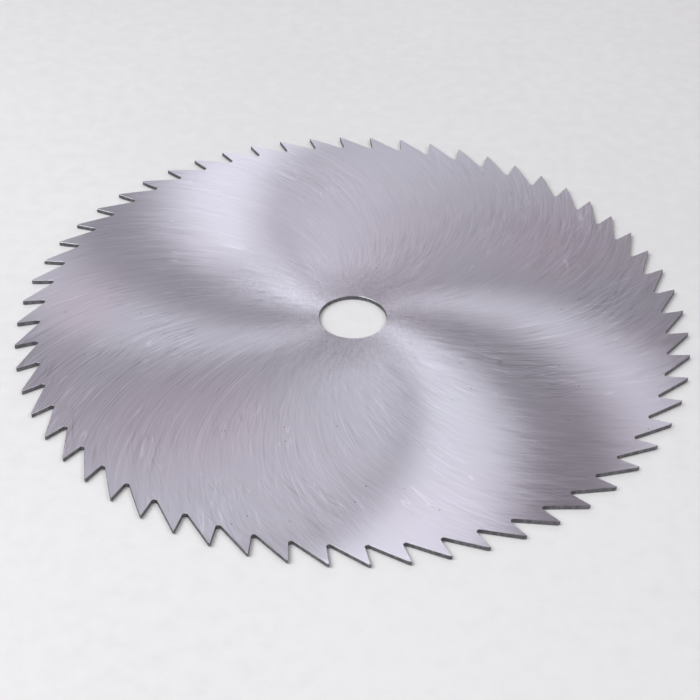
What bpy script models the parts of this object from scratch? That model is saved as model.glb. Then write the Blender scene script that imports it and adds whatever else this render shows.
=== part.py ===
"""A flat circular saw blade for wood: one steel plate with raked teeth cut into its rim and a plain round bore.

Metres, +Z up. The blade lies flat, its lower face on z = 0 and its axis on Z, with a tooth tip on +X.
"""

import math

import bmesh
import bpy
from mathutils import Vector

# The plate
BLADE_DIAMETER = 0.250  # over the tooth tips
PLATE_THICKNESS = 0.0017
BORE_DIAMETER = 0.0254
BORE_CHAMFER = 0.0003  # broken edge round the bore, on both faces

# The teeth, which point counter-clockwise seen from above
TOOTH_COUNT = 60
TOOTH_DEPTH = 0.0084  # from the tip circle to the bottom of the gullet
HOOK_ANGLE = math.radians(11)  # how far the cutting face leans past the radius
GULLET_RADIUS = 0.0010
TIP_LAND = 0.0008  # short narrow face behind the cutting edge
LAND_RELIEF = math.radians(13)  # how steeply that land falls away from the tip circle

# How finely the round stretches are divided
GULLET_STEPS = 8
BORE_STEPS_PER_TOOTH = 2

SHARP_ANGLE = math.radians(30)
STEEL_COLOUR = (0.60, 0.59, 0.63, 1.0)
STEEL_ROUGHNESS = 0.32

TIP_RADIUS = BLADE_DIAMETER / 2
PITCH = 2 * math.pi / TOOTH_COUNT


def clear_scene():
    for obj in list(bpy.data.objects):
        bpy.data.objects.remove(obj, do_unlink=True)


def polar(radius, angle):
    return Vector((radius * math.cos(angle), radius * math.sin(angle)))


def turned(point, angle):
    """The point turned about the blade's axis."""
    return Vector(
        (
            point.x * math.cos(angle) - point.y * math.sin(angle),
            point.x * math.sin(angle) + point.y * math.cos(angle),
        )
    )


def gullet_centre():
    """Centre of the gullet's arc, tangent to the cutting face of the tooth on +X and to the root circle."""
    into_gullet = Vector((math.sin(HOOK_ANGLE), math.cos(HOOK_ANGLE)))
    down_the_face = Vector((-math.cos(HOOK_ANGLE), -math.sin(HOOK_ANGLE)))
    # the tip, moved off the cutting face by the arc's radius, then slid down the face to the right depth
    start = Vector((TIP_RADIUS, 0.0)) + into_gullet * GULLET_RADIUS
    centre_radius = TIP_RADIUS - TOOTH_DEPTH + GULLET_RADIUS
    along = start.dot(down_the_face)
    slide = -along - math.sqrt(along**2 - start.length_squared + centre_radius**2)
    return start + down_the_face * slide


def tooth_outline():
    """One pitch of the rim, counter-clockwise: the tip on +X, down its cutting face, round the gullet
    and up the back of the next tooth as far as the heel of that tooth's land.
    """
    tip = Vector((TIP_RADIUS, 0.0))
    heel = tip + Vector((-math.sin(LAND_RELIEF), -math.cos(LAND_RELIEF))) * TIP_LAND
    next_heel = turned(heel, PITCH)

    centre = gullet_centre()
    first = math.atan2(-math.cos(HOOK_ANGLE), -math.sin(HOOK_ANGLE))
    # the back is the straight line from the next heel that touches the arc on its inner side
    to_heel = next_heel - centre
    last = math.atan2(to_heel.y, to_heel.x) + math.acos(GULLET_RADIUS / to_heel.length)
    # the arc is walked clockwise about its own centre, through the side nearest the blade's axis
    sweep = (first - last) % (2 * math.pi)

    points = [tip]
    for step in range(GULLET_STEPS + 1):
        points.append(centre + polar(GULLET_RADIUS, first - sweep * step / GULLET_STEPS))
    points.append(next_heel)
    return points


def add_ring(bm, points, height):
    return [bm.verts.new((point.x, point.y, height)) for point in points]


def bridge(bm, inner, outer):
    """Faces between two rings with as many points, both counter-clockwise."""
    count = len(inner)
    for i in range(count):
        j = (i + 1) % count
        bm.faces.new((inner[i], outer[i], outer[j], inner[j]))


def add_face_of_plate(bm, rim, bore, height, outline_points):
    """One flat side of the plate: a ring round the bore, and a face for each tooth outside it."""
    web_radius = TIP_RADIUS - TOOTH_DEPTH - GULLET_RADIUS
    deepest = outline_points // 2
    web = []
    for tooth in range(TOOTH_COUNT):
        root = rim[tooth * outline_points + deepest].co
        start = math.atan2(root.y, root.x)
        for step in range(BORE_STEPS_PER_TOOTH):
            angle = start + PITCH * step / BORE_STEPS_PER_TOOTH
            web += add_ring(bm, [polar(web_radius, angle)], height)

    bridge(bm, bore, web)
    for tooth in range(TOOTH_COUNT):
        first = tooth * outline_points + deepest
        across = [rim[(first + i) % len(rim)] for i in range(outline_points + 1)]
        start = tooth * BORE_STEPS_PER_TOOTH
        under = [web[(start + i) % len(web)] for i in range(BORE_STEPS_PER_TOOTH + 1)]
        bm.faces.new(across + under[::-1])


def bore_ring(radius):
    """Points round the bore, turned to stand under the gullets."""
    centre = gullet_centre()
    start = math.atan2(centre.y, centre.x)
    count = TOOTH_COUNT * BORE_STEPS_PER_TOOTH
    return [polar(radius, start + 2 * math.pi * i / count) for i in range(count)]


def build_blade():
    bore_radius = BORE_DIAMETER / 2
    pitch_points = tooth_outline()
    rim_points = []
    for tooth in range(TOOTH_COUNT):
        rim_points += [turned(point, tooth * PITCH) for point in pitch_points]

    bm = bmesh.new()
    top = PLATE_THICKNESS
    rim_low = add_ring(bm, rim_points, 0.0)
    rim_high = add_ring(bm, rim_points, top)
    mouth_low = add_ring(bm, bore_ring(bore_radius + BORE_CHAMFER), 0.0)
    wall_low = add_ring(bm, bore_ring(bore_radius), BORE_CHAMFER)
    wall_high = add_ring(bm, bore_ring(bore_radius), top - BORE_CHAMFER)
    mouth_high = add_ring(bm, bore_ring(bore_radius + BORE_CHAMFER), top)

    add_face_of_plate(bm, rim_low, mouth_low, 0.0, len(pitch_points))
    add_face_of_plate(bm, rim_high, mouth_high, top, len(pitch_points))
    bridge(bm, rim_low, rim_high)
    bridge(bm, mouth_low, wall_low)
    bridge(bm, wall_low, wall_high)
    bridge(bm, wall_high, mouth_high)
    bmesh.ops.recalc_face_normals(bm, faces=bm.faces)

    mesh = bpy.data.meshes.new("saw_blade")
    bm.to_mesh(mesh)
    bm.free()
    mesh.shade_smooth()
    mesh.set_sharp_from_angle(angle=SHARP_ANGLE)
    blade = bpy.data.objects.new("saw_blade", mesh)
    bpy.context.collection.objects.link(blade)
    return blade


def ground_steel():
    material = bpy.data.materials.new("ground_steel")
    material.use_nodes = True
    shader = material.node_tree.nodes["Principled BSDF"]
    shader.inputs["Base Color"].default_value = STEEL_COLOUR
    shader.inputs["Metallic"].default_value = 1.0
    shader.inputs["Roughness"].default_value = STEEL_ROUGHNESS
    material.diffuse_color = STEEL_COLOUR
    return material


def main():
    clear_scene()
    blade = build_blade()
    blade.data.materials.append(ground_steel())


main()
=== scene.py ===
# The looks of a flat circular saw blade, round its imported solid.
# Metres, +Z up, the blade's axis on Z and a tooth tip on +X.
import math

import bmesh
import bpy
from mathutils import Matrix, Vector


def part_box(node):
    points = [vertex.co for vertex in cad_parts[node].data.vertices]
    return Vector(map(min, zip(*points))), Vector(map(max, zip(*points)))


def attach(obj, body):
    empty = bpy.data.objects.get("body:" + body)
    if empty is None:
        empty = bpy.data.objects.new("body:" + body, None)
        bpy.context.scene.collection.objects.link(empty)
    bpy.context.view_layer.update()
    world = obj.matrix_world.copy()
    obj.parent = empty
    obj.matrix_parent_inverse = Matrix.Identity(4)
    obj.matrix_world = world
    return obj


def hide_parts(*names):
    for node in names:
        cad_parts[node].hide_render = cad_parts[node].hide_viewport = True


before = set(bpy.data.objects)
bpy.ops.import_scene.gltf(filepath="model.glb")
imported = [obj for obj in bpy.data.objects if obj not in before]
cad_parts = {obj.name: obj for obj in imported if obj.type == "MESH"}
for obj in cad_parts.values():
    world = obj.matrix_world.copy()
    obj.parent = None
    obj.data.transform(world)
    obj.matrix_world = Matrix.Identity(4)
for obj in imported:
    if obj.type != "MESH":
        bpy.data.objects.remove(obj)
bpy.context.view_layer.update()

plateLow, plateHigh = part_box("saw_blade")
tipRadius = plateHigh.x
usualNoise = (0.35, 0.65)  # most of a noise lies between these


# Shader maths. A Wire wraps a socket, so that values and vectors are combined as plain expressions.
class Wire:
    def __init__(self, tree, socket):
        self.tree = tree
        self.socket = socket

    def out(self, name):
        return Wire(self.tree, self.socket.node.outputs[name])

    def combine(self, operation, *values):
        vector = any(isinstance(v, Wire) and v.socket.type in ("VECTOR", "RGBA") for v in values)
        kind = "ShaderNodeVectorMath" if vector else "ShaderNodeMath"
        node = self.tree.nodes.new(kind)
        node.operation = operation
        for slot, value in zip(node.inputs, values):
            plug(self.tree, slot, value)
        return Wire(self.tree, node.outputs[0])

    def __add__(self, other):
        return self.combine("ADD", self, other)

    def __radd__(self, other):
        return self.combine("ADD", other, self)

    def __sub__(self, other):
        return self.combine("SUBTRACT", self, other)

    def __rsub__(self, other):
        return self.combine("SUBTRACT", other, self)

    def __mul__(self, other):
        return self.combine("MULTIPLY", self, other)

    def __rmul__(self, other):
        return self.combine("MULTIPLY", other, self)

    def __truediv__(self, other):
        return self.combine("DIVIDE", self, other)

    def __rtruediv__(self, other):
        return self.combine("DIVIDE", other, self)

    def __neg__(self):
        return self.combine("MULTIPLY", self, -1.0)


def plug(tree, slot, value):
    if isinstance(value, Wire):
        tree.links.new(value.socket, slot)
    elif slot.type == "VECTOR" and isinstance(value, (int, float)):
        slot.default_value = (value, value, value)
    else:
        slot.default_value = value


# A material under construction: nodes are added to its tree, and its shader is the Principled one.
class Finish:
    def __init__(self, name):
        self.material = bpy.data.materials.new(name)
        self.material.use_nodes = True
        self.tree = self.material.node_tree
        self.shader = self.tree.nodes["Principled BSDF"]

    def node(self, kind, settings=None, sockets=None):
        node = self.tree.nodes.new(kind)
        for name, value in (settings or {}).items():
            setattr(node, name, value)
        for name, value in (sockets or {}).items():
            plug(self.tree, node.inputs[name], value)
        return Wire(self.tree, node.outputs[0])

    def fraction(self, operation, *values):
        return self.node("ShaderNodeMath", {"operation": operation}, dict(enumerate(values)))

    def place(self):  # in metres, in the frame of the piece
        return self.node("ShaderNodeTexCoord").out("Object")

    def noise(self, spot, scale, detail=2.0, roughness=0.5):
        sockets = {"Vector": spot, "Scale": scale, "Detail": detail, "Roughness": roughness}
        return self.node("ShaderNodeTexNoise", None, sockets)

    def bump(self, height, strength, distance):
        sockets = {"Height": height, "Strength": strength, "Distance": distance}
        return self.node("ShaderNodeBump", None, sockets)

    def point(self, x, y, z):
        return self.node("ShaderNodeCombineXYZ", None, {"X": x, "Y": y, "Z": z})

    def between(self, value, low, high):  # 0 below low, 1 above high, smooth in between
        sockets = {"Value": value, "From Min": low, "From Max": high}
        return self.node("ShaderNodeMapRange", {"interpolation_type": "SMOOTHSTEP"}, sockets)

    def tint(self, share, first, second, blend="MIX"):
        settings = {"data_type": "RGBA", "blend_type": blend}
        mixed = self.node("ShaderNodeMix", settings, {0: share, 6: first, 7: second})
        return Wire(self.tree, mixed.socket.node.outputs[2])

    def shade(self, **sockets):
        for name, value in sockets.items():
            plug(self.tree, self.shader.inputs[name.replace("_", " ")], value)


# The camera, as the photograph was taken: its place is given about the middle of the upper face
photoView = {
    "lens": 82.05,
    "sensorWidth": 36.0,
    "elevation": 39.81,
    "roll": 0.825,
    "turn": 2.938,  # round the blade's axis
    "distance": 0.59801,
    "slideRight": -0.000907,
    "slideUp": -0.012497,
    "nearest": 0.01,  # what the camera clips
    "furthest": 50.0,
}


def setUpCamera():
    elevation = math.radians(photoView["elevation"])
    roll = math.radians(photoView["roll"])
    ahead = Vector((0.0, math.cos(elevation), -math.sin(elevation)))
    up = Vector((0.0, math.sin(elevation), math.cos(elevation)))
    right = Vector((1.0, 0.0, 0.0))
    slide = right * photoView["slideRight"] + up * photoView["slideUp"]
    place = slide - ahead * photoView["distance"]
    frameRight = right * math.cos(roll) + up * math.sin(roll)
    frameUp = up * math.cos(roll) - right * math.sin(roll)
    aim = Matrix((frameRight, frameUp, -ahead)).transposed().to_4x4()
    turn = Matrix.Rotation(math.radians(photoView["turn"]), 4, "Z")
    lift = Matrix.Translation((0.0, 0.0, plateHigh.z))
    data = bpy.data.cameras.new("photoCamera")
    data.lens = photoView["lens"]
    data.sensor_width = photoView["sensorWidth"]
    data.clip_start = photoView["nearest"]
    data.clip_end = photoView["furthest"]
    camera = bpy.data.objects.new("photoCamera", data)
    bpy.context.scene.collection.objects.link(camera)
    camera.matrix_world = lift @ turn @ Matrix.Translation(place) @ aim
    bpy.context.scene.camera = camera
    print("camera stands at", [round(v, 4) for v in camera.matrix_world.translation])


# Soft boxes round the blade, each facing its axis. Azimuth is from the photograph's right,
# counter-clockwise from above. glow is the box's own brightness, whatever its size.
softBoxes = {
    "leftBox": {
        "azimuth": -152.3, "elevation": 52.0, "distance": 1.200,
        "size": (0.897, 0.884), "glow": 3.78,
    },
    "leftFill": {
        "azimuth": -147.1, "elevation": 56.4, "distance": 1.766,
        "size": (1.324, 0.310), "glow": 3.65,
    },
    "rightBox": {
        "azimuth": -21.5, "elevation": 55.4, "distance": 2.600,
        "size": (1.506, 1.370), "glow": 3.22,
    },
    "backBox": {
        "azimuth": 120.9, "elevation": 41.9, "distance": 2.027,
        "size": (3.199, 1.089), "glow": 0.86,
    },
}
boxColour = (0.945, 1.0, 0.985)
roomColour = (1.10, 1.0, 1.05)
roomGlow = 0.230


def setUpLights():
    for name, box in softBoxes.items():
        azimuth = math.radians(box["azimuth"] + photoView["turn"])
        elevation = math.radians(box["elevation"])
        flat = math.cos(elevation)
        outward = Vector((flat * math.cos(azimuth), flat * math.sin(azimuth), math.sin(elevation)))
        data = bpy.data.lights.new(name, "AREA")
        data.shape = "RECTANGLE"
        data.size, data.size_y = box["size"]
        data.color = boxColour
        data.energy = box["glow"] * math.pi * data.size * data.size_y
        lamp = bpy.data.objects.new(name, data)
        lamp.location = outward * box["distance"]
        lamp.rotation_euler = outward.to_track_quat("Z", "Y").to_euler()
        bpy.context.scene.collection.objects.link(lamp)
    world = bpy.data.worlds.new("studioRoom")
    world.use_nodes = True
    background = world.node_tree.nodes["Background"]
    background.inputs["Color"].default_value = (*roomColour, 1.0)
    background.inputs["Strength"].default_value = roomGlow
    bpy.context.scene.world = world
    bpy.context.scene.view_settings.view_transform = "Standard"
    print("lit by", len(softBoxes), "soft boxes")


def joinRings(bm, inner, outer, slot=0):
    # faces between two rings of as many points, with the material of that slot
    count = len(inner)
    for i in range(count):
        j = (i + 1) % count
        bm.faces.new((inner[i], outer[i], outer[j], inner[j])).material_index = slot


# The floor: a wide pale board that sweeps up at its far edge
floorShape = {
    "gap": 0.0002,  # under the blade
    "flatRadius": 2.2,
    "sweepRadius": 1.0,
    "spokes": 96,
    "sweepSteps": 12,
    "rings": 10,
}

# The board's finish: pale, matt, with a fine grain
board = {
    "lowTone": (0.685, 0.66, 0.68, 1.0),
    "highTone": (0.735, 0.71, 0.725, 1.0),
    "cloudScale": 3.0,
    "cloudDetail": 3.0,
    "fleckScale": 160.0,
    "fleckDetail": 4.0,
    "cloudShare": 0.6,  # of the tone, the rest is fleck
    "grainScale": 900.0,
    "grainStrength": 0.25,
    "grainHeight": 0.0002,
    "roughness": 0.85,
    "toneRoughness": 0.1,
    "specular": 0.1,
}


def paleBoard():
    finish = Finish("paleBoard")
    place = finish.place()
    cloud = finish.noise(place, board["cloudScale"], board["cloudDetail"])
    fleck = finish.noise(place, board["fleckScale"], board["fleckDetail"])
    mixed = cloud * board["cloudShare"] + fleck * (1.0 - board["cloudShare"])
    tone = finish.between(mixed, *usualNoise)
    grain = finish.noise(place, board["grainScale"])
    finish.shade(
        Base_Color=finish.tint(tone, board["lowTone"], board["highTone"]),
        Roughness=board["roughness"] + tone * board["toneRoughness"],
        Specular_IOR_Level=board["specular"],
        Normal=finish.bump(grain, board["grainStrength"], board["grainHeight"]),
    )
    return finish.material


def makeFloor():
    profile = []
    for step in range(1, floorShape["rings"] + 1):
        profile.append((floorShape["flatRadius"] * step / floorShape["rings"], 0.0))
    for step in range(1, floorShape["sweepSteps"] + 1):
        bend = math.pi / 2 * step / floorShape["sweepSteps"]
        away = floorShape["flatRadius"] + floorShape["sweepRadius"] * math.sin(bend)
        profile.append((away, floorShape["sweepRadius"] * (1 - math.cos(bend))))
    bm = bmesh.new()
    rings = []
    for radius, height in profile:
        ring = []
        for spoke in range(floorShape["spokes"]):
            angle = 2 * math.pi * spoke / floorShape["spokes"]
            ring.append(bm.verts.new((radius * math.cos(angle), radius * math.sin(angle), height)))
        rings.append(ring)
    bm.faces.new(rings[0])
    for inner, outer in zip(rings, rings[1:]):
        joinRings(bm, inner, outer)
    mesh = bpy.data.meshes.new("studioFloor")
    bm.to_mesh(mesh)
    bm.free()
    mesh.shade_smooth()
    mesh.materials.append(paleBoard())
    floor = bpy.data.objects.new("studioFloor", mesh)
    floor.location.z = plateLow.z - floorShape["gap"]
    bpy.context.scene.collection.objects.link(floor)
    print("floor laid, sweeping up", floorShape["flatRadius"], "m out")


# The blade. Its teeth point counter-clockwise seen from above, as the solid's do
blade = {
    "toothCount": 60,
    "toothDepth": 0.0084,
    "hookAngle": 11.0,  # degrees, as the other angles here are
    "gulletRadius": 0.0010,
    "tipLand": 0.0008,
    "landRelief": 13.0,
    "boreRadius": 0.0127,
    "boreChamfer": 0.00012,
    "edgeBreak": 0.00010,  # the sharp edges of the punched teeth, just taken off
    "grindRadius": 0.658,  # of the grinding lines, as a share of the tip radius
    "grindMiss": 0.015,  # how far they pass from the axis, also as a share
    "gulletSteps": 14,
    "faceSteps": 3,
    "backSteps": 6,
    "spokesPerTooth": 6,
    "rings": 24,
    "sharpAngle": 25.0,  # edges sharper than this stay crisp
}
grindRadius = blade["grindRadius"] * tipRadius
grindMiss = blade["grindMiss"] * tipRadius
# what the square of a point's radius loses, because the lines pass a little off the axis
grindSpread = grindMiss * (2 * grindRadius + grindMiss)
pitch = 2 * math.pi / blade["toothCount"]
faceSlot, edgeSlot, cornerSlot = range(3)  # of the plate's materials


def polar(radius, angle):
    return Vector((radius * math.cos(angle), radius * math.sin(angle)))


def turned(point, angle):
    return Matrix.Rotation(angle, 2) @ point


def gulletCentre():
    hook = math.radians(blade["hookAngle"])
    radius = blade["gulletRadius"]
    intoGullet = Vector((math.sin(hook), math.cos(hook)))
    downTheFace = Vector((-math.cos(hook), -math.sin(hook)))
    start = Vector((tipRadius, 0.0)) + intoGullet * radius
    centreRadius = tipRadius - blade["toothDepth"] + radius
    along = start.dot(downTheFace)
    slide = -along - math.sqrt(along**2 - start.length_squared + centreRadius**2)
    return start + downTheFace * slide


def toothOutline():
    # one pitch: the tip, down its cutting face, round the gullet, up the back to the next land
    hook = math.radians(blade["hookAngle"])
    relief = math.radians(blade["landRelief"])
    radius = blade["gulletRadius"]
    tip = Vector((tipRadius, 0.0))
    heel = tip + Vector((-math.sin(relief), -math.cos(relief))) * blade["tipLand"]
    nextHeel = turned(heel, pitch)
    centre = gulletCentre()
    first = math.atan2(-math.cos(hook), -math.sin(hook))
    toHeel = nextHeel - centre
    last = math.atan2(toHeel.y, toHeel.x) + math.acos(radius / toHeel.length)
    sweep = (first - last) % (2 * math.pi)
    arc = []
    for step in range(blade["gulletSteps"] + 1):
        arc.append(centre + polar(radius, first - sweep * step / blade["gulletSteps"]))
    faceParts = blade["faceSteps"] + 1
    face = [tip.lerp(arc[0], step / faceParts) for step in range(faceParts)]
    backParts = blade["backSteps"] + 1
    back = [arc[-1].lerp(nextHeel, step / backParts) for step in range(1, backParts)]
    return face + arc + back + [nextHeel]


def drawnIn(points, depth):
    # the closed outline moved into the steel by depth, with its corners kept sharp
    moved = []
    for i, point in enumerate(points):
        before = (point - points[i - 1]).normalized()
        after = (points[(i + 1) % len(points)] - point).normalized()
        sideBefore = Vector((-before.y, before.x))
        sideAfter = Vector((-after.y, after.x))
        middle = (sideBefore + sideAfter).normalized()
        moved.append(point + middle * (depth / middle.dot(sideAfter)))
    return moved


def roundPoints(radius, angles):
    return [polar(radius, angle) for angle in angles]


def addRing(bm, points, height):
    return [bm.verts.new((point.x, point.y, height)) for point in points]


def addSide(bm, rim, mouth, angles, height, perTooth):
    # one flat side of the plate: rings from the bore's mouth to the web, then a face for each tooth
    webRadius = tipRadius - blade["toothDepth"] - blade["gulletRadius"]
    mouthRadius = mouth[0].co.xy.length
    inner = mouth
    for step in range(1, blade["rings"] + 1):
        radius = mouthRadius + (webRadius - mouthRadius) * step / blade["rings"]
        outer = addRing(bm, roundPoints(radius, angles), height)
        joinRings(bm, inner, outer, faceSlot)
        inner = outer
    deepest = blade["faceSteps"] + 1 + blade["gulletSteps"] // 2
    for tooth in range(blade["toothCount"]):
        first = tooth * perTooth + deepest
        across = [rim[(first + i) % len(rim)] for i in range(perTooth + 1)]
        firstUnder = tooth * blade["spokesPerTooth"]
        under = [inner[(firstUnder + i) % len(inner)] for i in range(blade["spokesPerTooth"] + 1)]
        bm.faces.new(across + under[::-1])


def makeBlade():
    bm = bmesh.new()
    toothPoints = toothOutline()
    perTooth = len(toothPoints)
    outline = []
    for tooth in range(blade["toothCount"]):
        outline += [turned(point, tooth * pitch) for point in toothPoints]
    brokenOutline = drawnIn(outline, blade["edgeBreak"])
    centre = gulletCentre()
    spokes = blade["toothCount"] * blade["spokesPerTooth"]
    firstSpoke = math.atan2(centre.y, centre.x)
    angles = [firstSpoke + 2 * math.pi * i / spokes for i in range(spokes)]
    mouthRadius = blade["boreRadius"] + blade["boreChamfer"]
    bottom, top = plateLow.z, plateHigh.z

    rims, mouths = [], []
    for height, inward in ((bottom, 1), (top, -1)):
        flatRim = addRing(bm, brokenOutline, height)
        wallRim = addRing(bm, outline, height + inward * blade["edgeBreak"])
        mouth = addRing(bm, roundPoints(mouthRadius, angles), height)
        wallHeight = height + inward * blade["boreChamfer"]
        wall = addRing(bm, roundPoints(blade["boreRadius"], angles), wallHeight)
        joinRings(bm, flatRim, wallRim, cornerSlot)
        joinRings(bm, wall, mouth, cornerSlot)
        addSide(bm, flatRim, mouth, angles, height, perTooth)
        rims.append(wallRim)
        mouths.append(wall)
    joinRings(bm, rims[0], rims[1], edgeSlot)
    joinRings(bm, mouths[0], mouths[1], edgeSlot)
    bmesh.ops.recalc_face_normals(bm, faces=bm.faces)

    mesh = bpy.data.meshes.new("bladePlate")
    bm.to_mesh(mesh)
    bm.free()
    mesh.shade_smooth()
    mesh.set_sharp_from_angle(angle=math.radians(blade["sharpAngle"]))
    for material in (groundFace(), punchedEdge(), brokenCorner()):
        mesh.materials.append(material)
    plate = bpy.data.objects.new("bladePlate", mesh)
    bpy.context.scene.collection.objects.link(plate)
    followGrinding(plate)
    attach(plate, "root")
    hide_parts("saw_blade")
    print("blade made:", len(mesh.polygons), "faces")


def followGrinding(plate):
    # The sheen of ground steel runs across the rays from the middle of the mesh as it is before its
    # shape keys. So that mesh is turned more the further out, and a key at full value holds the real
    # plate. Both faces are ground alike, so the lower one's lines lean the other way seen from above.
    real = [vertex.co.copy() for vertex in plate.data.vertices]
    middle = (plateLow.z + plateHigh.z) / 2
    for vertex in plate.data.vertices:
        radius = vertex.co.xy.length
        lean = math.asin((radius**2 - grindSpread) / (2 * radius * grindRadius))
        vertex.co.xy = turned(vertex.co.xy, math.copysign(lean, vertex.co.z - middle))
    plate.shape_key_add(name="turnedWithGrinding")
    key = plate.shape_key_add(name="plate")
    for point, place in zip(key.data, real):
        point.co = place
    key.value = 1.0


# The ground faces: fine lines in arcs from the bore outward, under a sheen that is wide across them.
# A zone is a soft patch of the face, with the middle and the reach of it in metres.
# A mask is soft noise: shift moves it, and it goes from 0 at low to 1 at high.
# In a family of lines, lines is how many stand in a radian at the coarsest, length how far one runs
# before it fades, curve the arc's radius against the main one, and aside the point that the lines run
# out from, off the axis.
grinding = {
    "colour": (0.609, 0.574, 0.665, 1.0),
    "warmTint": (1.012, 0.992, 0.999, 1.0),
    "coolTint": (0.99, 1.006, 1.005, 1.0),
    "clouds": {"shift": 1.7, "scale": 11.0, "detail": 2.0, "low": 0.36, "high": 0.64},
    "blush": (1.035, 0.975, 0.99, 1.0),
    "blushZones": (
        {"middle": (0.078, 0.056), "reach": (0.038, 0.042)},
        {"middle": (-0.052, -0.062), "reach": (0.044, 0.040)},
        {"middle": (-0.104, 0.002), "reach": (0.024, 0.040)},
    ),
    "zoneCore": 0.1,  # share of a zone's reach that has its full effect
    "roughness": 0.322,
    "rimRoughness": 0.062,  # added towards the rim
    # how strong the lines are in the colour: their brightening and darkening is a painted sheen along the
    # grinding lines
    "broadLineSheen": 0.15,  # of the broad lines
    "crossLineSheen": 0.20,
    "hairShine": 0.12,
    "hairShade": 0.12,
    "crossShine": 0.14,
    "crossed": {"shift": 7.7, "scale": 42.0, "detail": 1.0, "low": 0.42, "high": 0.62},
    "hairWidth": 0.045,
    "scratchShine": 0.20,  # a few deeper lines
    "scratchWidth": 0.01575,
    "scratched": {"shift": 2.9, "scale": 55.0, "detail": 1.0, "low": 0.56, "high": 0.66},
    "faintest": 0.23,  # strength of the lines between the patches where they are clear
    "patchGain": 0.76,
    "patches": {"shift": 0.31, "scale": 34.0, "detail": 2.0, "low": 0.36, "high": 0.64},
    "smoothZone": {"middle": (-0.056, 0.066), "reach": (0.036, 0.056)},
    "smoothness": 0.6,
    "boldZones": (
        {"middle": (-0.076, -0.034), "reach": (0.066, 0.066)},
        {"middle": (0.066, -0.002), "reach": (0.070, 0.056)},
    ),
    "boldness": 1.7,
    # round the bore, where the lines cross and are rubbed
    "boreZone": 0.050,
    "boreCore": 0.6,  # of the bore's radius
    "boreJitter": 1.15,
    "boreShine": 0.09,
    # painted sheen: the colour is brightened round the bore, making up for the darker reflections that the
    # jitter gives there
    "boreMarks": 0.40,
    "boreSmoothness": 0.7,
    "jitterScale": 9000.0,
    "rubs": (
        {"stretch": (1.0, 0.3, 0.0), "scale": 1100.0},
        {"stretch": (0.35, 1.0, 0.0), "scale": 1000.0},
    ),
    "innerStart": 0.028,  # the coarser crossed lines fade out from here
    "innerEnd": 0.066,
    # the inner lines brighten and darken the colour, a painted sheen
    "innerLineSheen": 0.30,
    "innerTilt": 0.16,
    # two patches rubbed by handling, where the jitter flattens the sheen; their shade darkens the colour of
    # the first as painted shade and, below 0, lightens the second as a painted highlight
    "rubbedZonesWithPaintedShade": (
        {"middle": (-0.040, 0.030), "reach": (0.022, 0.036), "jitter": 0.66, "shade": 0.06},
        {"middle": (-0.046, 0.009), "reach": (0.022, 0.018), "jitter": 0.38, "shade": -0.05},
    ),
    # how far the surface leans
    "tiltAcross": 0.08,
    "tiltAlong": 0.09,
    "broadAlong": 0.2,
    "waviness": 0.03,
    "waves": {"shift": 4.2, "scale": 14.0, "detail": 1.0},
    "wander": 0.02,  # how far the waves carry a zone's edge
    "dents": (
        {"middle": (-0.042, 0.030), "reach": (0.022, 0.030), "tilt": -0.06},
        {"middle": (-0.036, 0.046), "reach": (0.016, 0.028), "tilt": 0.035},
        {"middle": (-0.085, -0.008), "reach": (0.055, 0.050), "tilt": -0.042},
        {"middle": (-0.072, 0.042), "reach": (0.022, 0.024), "tilt": -0.012},
    ),
    # a few tiny pits
    "pitShade": 0.5,
    "pitScale": 75.0,
    "pitCore": 0.014,
    "pitEdge": 0.030,
    "pitted": {"shift": 6.1, "scale": 70.0, "detail": 0.0, "low": 0.66, "high": 0.69},
    # the families of lines
    "lineRoughness": 0.6,  # of their noise
    "faceShift": 0.75,  # sets the lines of one face apart from the other's
    "broad": {"lines": 58.0, "length": 0.050, "curve": 1.0, "aside": (0.0, 0.0), "detail": 3.0},
    "leftCross": {"lines": 105.0, "length": 0.014, "curve": 1.18, "aside": (0.005, 0.004), "detail": 1.0},
    "rightCross": {"lines": 115.0, "length": 0.012, "curve": 0.87, "aside": (-0.004, 0.005), "detail": 1.0},
    "brightHairs": {"lines": 80.0, "length": 0.070, "curve": 1.02, "aside": (0.0, 0.0), "detail": 0.0},
    "darkHairs": {"lines": 88.0, "length": 0.060, "curve": 0.98, "aside": (0.001, -0.001), "detail": 0.0},
    "crossHairs": {"lines": 70.0, "length": 0.018, "curve": 1.38, "aside": (0.002, 0.007), "detail": 0.0},
    "counterHairs": {"lines": 66.0, "length": 0.016, "curve": 0.78, "aside": (-0.005, 0.003), "detail": 0.0},
    "scratches": {"lines": 24.0, "length": 0.045, "curve": 1.10, "aside": (0.003, -0.004), "detail": 0.0},
    "innerLeft": {"lines": 36.0, "length": 0.010, "curve": 1.60, "aside": (0.008, 0.005), "detail": 2.0},
    "innerRight": {"lines": 40.0, "length": 0.009, "curve": 0.76, "aside": (-0.007, 0.006), "detail": 2.0},
}


def whichFace(finish, place):
    # 1 on the upper face and -1 on the lower
    height = finish.node("ShaderNodeSeparateXYZ", None, {0: place}).out("Z")
    return finish.fraction("SIGN", height - (plateLow.z + plateHigh.z) / 2)


def radiusAndAngle(finish, spot):
    parts = finish.node("ShaderNodeSeparateXYZ", None, {0: spot})
    flat = spot * (1.0, 1.0, 0.0)
    radius = flat.combine("LENGTH", flat).out("Value")
    return radius, finish.fraction("ARCTAN2", parts.out("Y"), parts.out("X"))


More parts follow.
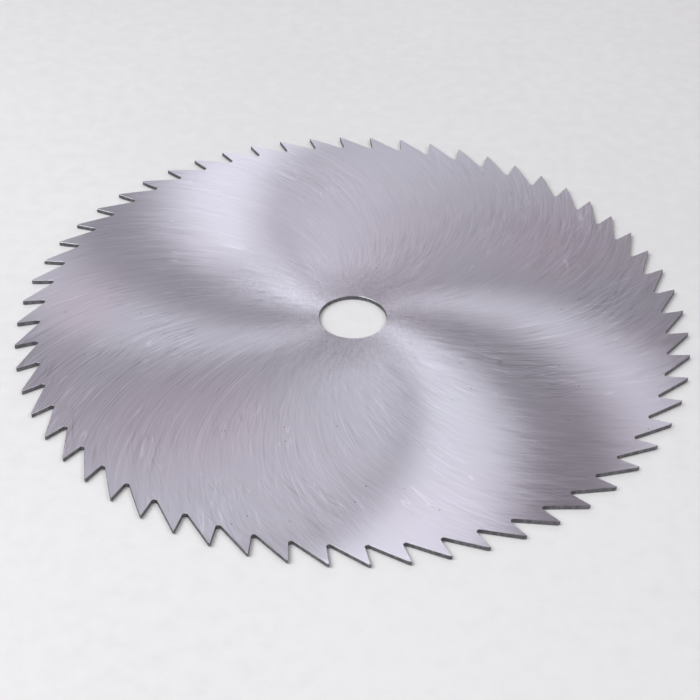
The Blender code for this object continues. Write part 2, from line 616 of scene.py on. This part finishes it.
def arcNoise(finish, place, arcs):
    # noise drawn out along arcs, between -0.5 and 0.5, and another for each face of the plate
    radius, angle = radiusAndAngle(finish, place - (*arcs["aside"], 0.0))
    toCentre = grindRadius * arcs["curve"] + grindMiss
    swing = finish.fraction("ARCCOSINE", (radius + grindSpread / radius) / (2 * toCentre))
    face = whichFace(finish, place)
    line = angle + swing * face
    run = radius / (arcs["length"] * arcs["lines"]) + face * grinding["faceShift"]
    ring = finish.point(finish.fraction("COSINE", line), finish.fraction("SINE", line), run)
    return finish.noise(ring, arcs["lines"], arcs["detail"], grinding["lineRoughness"]) - 0.5


def hairs(finish, place, arcs, width):
    # fine lines where such noise crosses its middle, 1 on a line and 0 off it
    offLine = finish.fraction("ABSOLUTE", arcNoise(finish, place, arcs))
    return 1.0 - finish.between(offLine, 0.0, width)


def inZone(finish, place, zone):
    # 1 at the middle of a zone and 0 outside it
    away = place - (*zone["middle"], 0.0)
    away = away * (1.0 / zone["reach"][0], 1.0 / zone["reach"][1], 0.0)
    share = away.combine("LENGTH", away).out("Value")
    return 1.0 - finish.between(share, grinding["zoneCore"], 1.0)


def masked(finish, place, mask):
    noise = finish.noise(place + mask["shift"], mask["scale"], mask["detail"])
    return finish.between(noise, mask["low"], mask["high"])


def pits(finish, place):
    sockets = {"Vector": place, "Scale": grinding["pitScale"]}
    fromPit = finish.node("ShaderNodeTexVoronoi", {"voronoi_dimensions": "2D"}, sockets)
    pit = 1.0 - finish.between(fromPit, grinding["pitCore"], grinding["pitEdge"])
    return pit * masked(finish, place, grinding["pitted"])


def lineMarks(finish, place, radius):
    # every family of lines: noise for the broader ones, and 0 to 1 for the hairs
    marks = {}
    for name in ("broad", "leftCross", "rightCross"):
        marks[name] = arcNoise(finish, place, grinding[name])
    for name in ("brightHairs", "darkHairs", "crossHairs", "counterHairs"):
        marks[name] = hairs(finish, place, grinding[name], grinding["hairWidth"])
    marks["scratches"] = hairs(finish, place, grinding["scratches"], grinding["scratchWidth"])
    inward = 1.0 - finish.between(radius, grinding["innerStart"], grinding["innerEnd"])
    for name in ("innerLeft", "innerRight"):
        marks[name] = arcNoise(finish, place, grinding[name]) * inward
    return marks


def lineShade(finish, place, wandered, marks, nearBore):
    # how bright the lines, rubs and pits leave the steel's colour, about 1; the lines' brightening and
    # darkening is a painted sheen
    hairLines = marks["brightHairs"] * grinding["hairShine"] - marks["darkHairs"] * grinding["hairShade"]
    crossLines = marks["crossHairs"] - marks["counterHairs"]
    crossLines = crossLines * masked(finish, place, grinding["crossed"]) * grinding["crossShine"]
    bold = 1.0
    for zone in grinding["boldZones"]:
        bold = bold + inZone(finish, wandered, zone) * grinding["boldness"]
    fineLines = (hairLines + crossLines) * bold
    # painted sheen: the broad and crossed lines brighten and darken the colour
    crossLineSheen = (marks["leftCross"] + marks["rightCross"]) * grinding["crossLineSheen"]
    broadLineSheen = marks["broad"] * grinding["broadLineSheen"] + crossLineSheen
    clear = grinding["faintest"] + masked(finish, place, grinding["patches"]) * grinding["patchGain"]
    smooth = inZone(finish, wandered, grinding["smoothZone"]) * grinding["smoothness"]
    strength = clear * (1.0 - smooth) * (1.0 - nearBore * grinding["boreSmoothness"])
    scratches = marks["scratches"] * masked(finish, place, grinding["scratched"])
    rubs = [finish.noise(place * rub["stretch"], rub["scale"]) - 0.5 for rub in grinding["rubs"]]
    boreMarks = (rubs[0] + rubs[1]) * nearBore * grinding["boreMarks"]
    innerMarks = (marks["innerLeft"] + marks["innerRight"]) * grinding["innerLineSheen"]
    shade = 1.0 + (broadLineSheen + fineLines) * strength + scratches * grinding["scratchShine"]
    shade = shade + boreMarks + innerMarks
    shade = shade * (1.0 - pits(finish, place) * grinding["pitShade"])
    # painted sheen: the colour brightened round the bore
    return shade * (1.0 + nearBore * grinding["boreShine"])


def tintedSteel(finish, place, wandered, shade):
    warmOrCool = masked(finish, place, grinding["clouds"])
    steel = finish.tint(warmOrCool, grinding["warmTint"], grinding["coolTint"])
    for zone in grinding["blushZones"]:
        steel = finish.tint(inZone(finish, wandered, zone), steel, grinding["blush"])
    steel = finish.tint(1.0, steel, grinding["colour"], "MULTIPLY")
    return finish.tint(1.0, steel, finish.point(shade, shade, shade), "MULTIPLY")


def leanedNormal(finish, place, heading, marks, waves, jitter):
    # heading is the angle at which the grinding runs, and waves and jitter are slow and fine noise
    cosine = finish.fraction("COSINE", heading)
    sine = finish.fraction("SINE", heading)
    along = finish.point(cosine, sine, 0.0)
    across = finish.point(-sine, cosine, 0.0)
    tiltAcross = (marks["broad"] + marks["rightCross"]) * grinding["tiltAcross"]
    crossing = marks["leftCross"] - marks["rightCross"] + marks["broad"] * grinding["broadAlong"]
    innerCrossing = marks["innerLeft"] - marks["innerRight"]
    tiltAlong = crossing * grinding["tiltAlong"] + innerCrossing * grinding["innerTilt"]
    for dent in grinding["dents"]:
        tiltAlong = tiltAlong + inZone(finish, place, dent) * dent["tilt"]
    flatWaves = waves * grinding["waviness"] + jitter
    normal = finish.node("ShaderNodeNewGeometry").out("Normal")
    leaned = normal + across * tiltAcross + along * tiltAlong + flatWaves * (1.0, 1.0, 0.0)
    return leaned.combine("NORMALIZE", leaned)


def groundFace():
    finish = Finish("groundFace")
    place = finish.place()
    radius, angle = radiusAndAngle(finish, place)
    waving = grinding["waves"]
    waves = finish.noise(place + waving["shift"], waving["scale"], waving["detail"]).out("Color") - 0.5
    wandered = place + waves * (grinding["wander"], grinding["wander"], 0.0)
    boreCore = blade["boreRadius"] * grinding["boreCore"]
    nearBore = 1.0 - finish.between(radius, boreCore, grinding["boreZone"])

    marks = lineMarks(finish, place, radius)
    shade = lineShade(finish, place, wandered, marks, nearBore)
    spread = nearBore * grinding["boreJitter"]
    for zone in grinding["rubbedZonesWithPaintedShade"]:
        rubbedWithPaintedShade = inZone(finish, wandered, zone)
        # painted shade and highlight: a zone's colour is darkened by its shade, and lightened where that is
        # below 0
        shade = shade * (1.0 - rubbedWithPaintedShade * zone["shade"])
        spread = spread + rubbedWithPaintedShade * zone["jitter"]
    jitter = (finish.noise(place, grinding["jitterScale"], 0.0).out("Color") - 0.5) * spread
    lean = finish.fraction("ARCSINE", (radius - grindSpread / radius) / (2 * grindRadius))
    heading = angle + lean * whichFace(finish, place)
    finish.shade(
        Base_Color=tintedSteel(finish, place, wandered, shade),
        Metallic=1.0,
        Roughness=grinding["roughness"] + radius * (grinding["rimRoughness"] / tipRadius),
        Anisotropic=1.0,
        Normal=leanedNormal(finish, place, heading, marks, waves, jitter),
    )
    return finish.material


# The punched edges and the bore's wall: duller, with faint marks straight through the plate, and very dark
# in colour, a painted shade for the dark surroundings that they reflect.
# The broken corners between them and the faces are a little brighter.
edges = {
    # painted shade: colour and wornColour are kept very dark, standing for the dark surroundings that the
    # walls reflect
    "colour": (0.13, 0.127, 0.135, 1.0),
    "wornColour": (0.30, 0.295, 0.31, 1.0),
    "wornShare": 0.5,
    "wearScale": 700.0,
    "wearDetail": 3.0,
    "wearStretch": (1.0, 1.0, 0.3),
    "roughness": 0.40,
    "wornRoughness": 0.08,  # added where worn
    "markScale": 4000.0,
    "markStretch": (1.0, 1.0, 0.08),
    "markStrength": 0.3,
    "markDepth": 0.00005,
    # painted shade: the broken corners are darkened in colour too, so that they show no bright lines
    "brokenColour": (0.40, 0.395, 0.42, 1.0),
    "brokenRoughness": 0.26,
    "nickRoughness": 0.1,
    "nickScale": 900.0,
    "nickDetail": 3.0,
    "nickStrength": 0.25,
    "nickDepth": 0.00004,
}


def punchedEdge():
    finish = Finish("punchedEdge")
    place = finish.place()
    marks = finish.noise(place * edges["markStretch"], edges["markScale"])
    worn = finish.noise(place * edges["wearStretch"], edges["wearScale"], edges["wearDetail"])
    wear = finish.between(worn, *usualNoise)
    finish.shade(
        Base_Color=finish.tint(wear * edges["wornShare"], edges["colour"], edges["wornColour"]),
        Metallic=1.0,
        Roughness=edges["roughness"] + wear * edges["wornRoughness"],
        Normal=finish.bump(marks, edges["markStrength"], edges["markDepth"]),
    )
    return finish.material


def brokenCorner():
    finish = Finish("brokenCorner")
    nicks = finish.noise(finish.place(), edges["nickScale"], edges["nickDetail"])
    nicked = finish.between(nicks, *usualNoise)
    finish.shade(
        Base_Color=finish.tint(nicked, edges["wornColour"], edges["brokenColour"]),
        Metallic=1.0,
        Roughness=edges["brokenRoughness"] + nicks * edges["nickRoughness"],
        Normal=finish.bump(nicks, edges["nickStrength"], edges["nickDepth"]),
    )
    return finish.material


setUpCamera()
setUpLights()
makeFloor()
makeBlade()
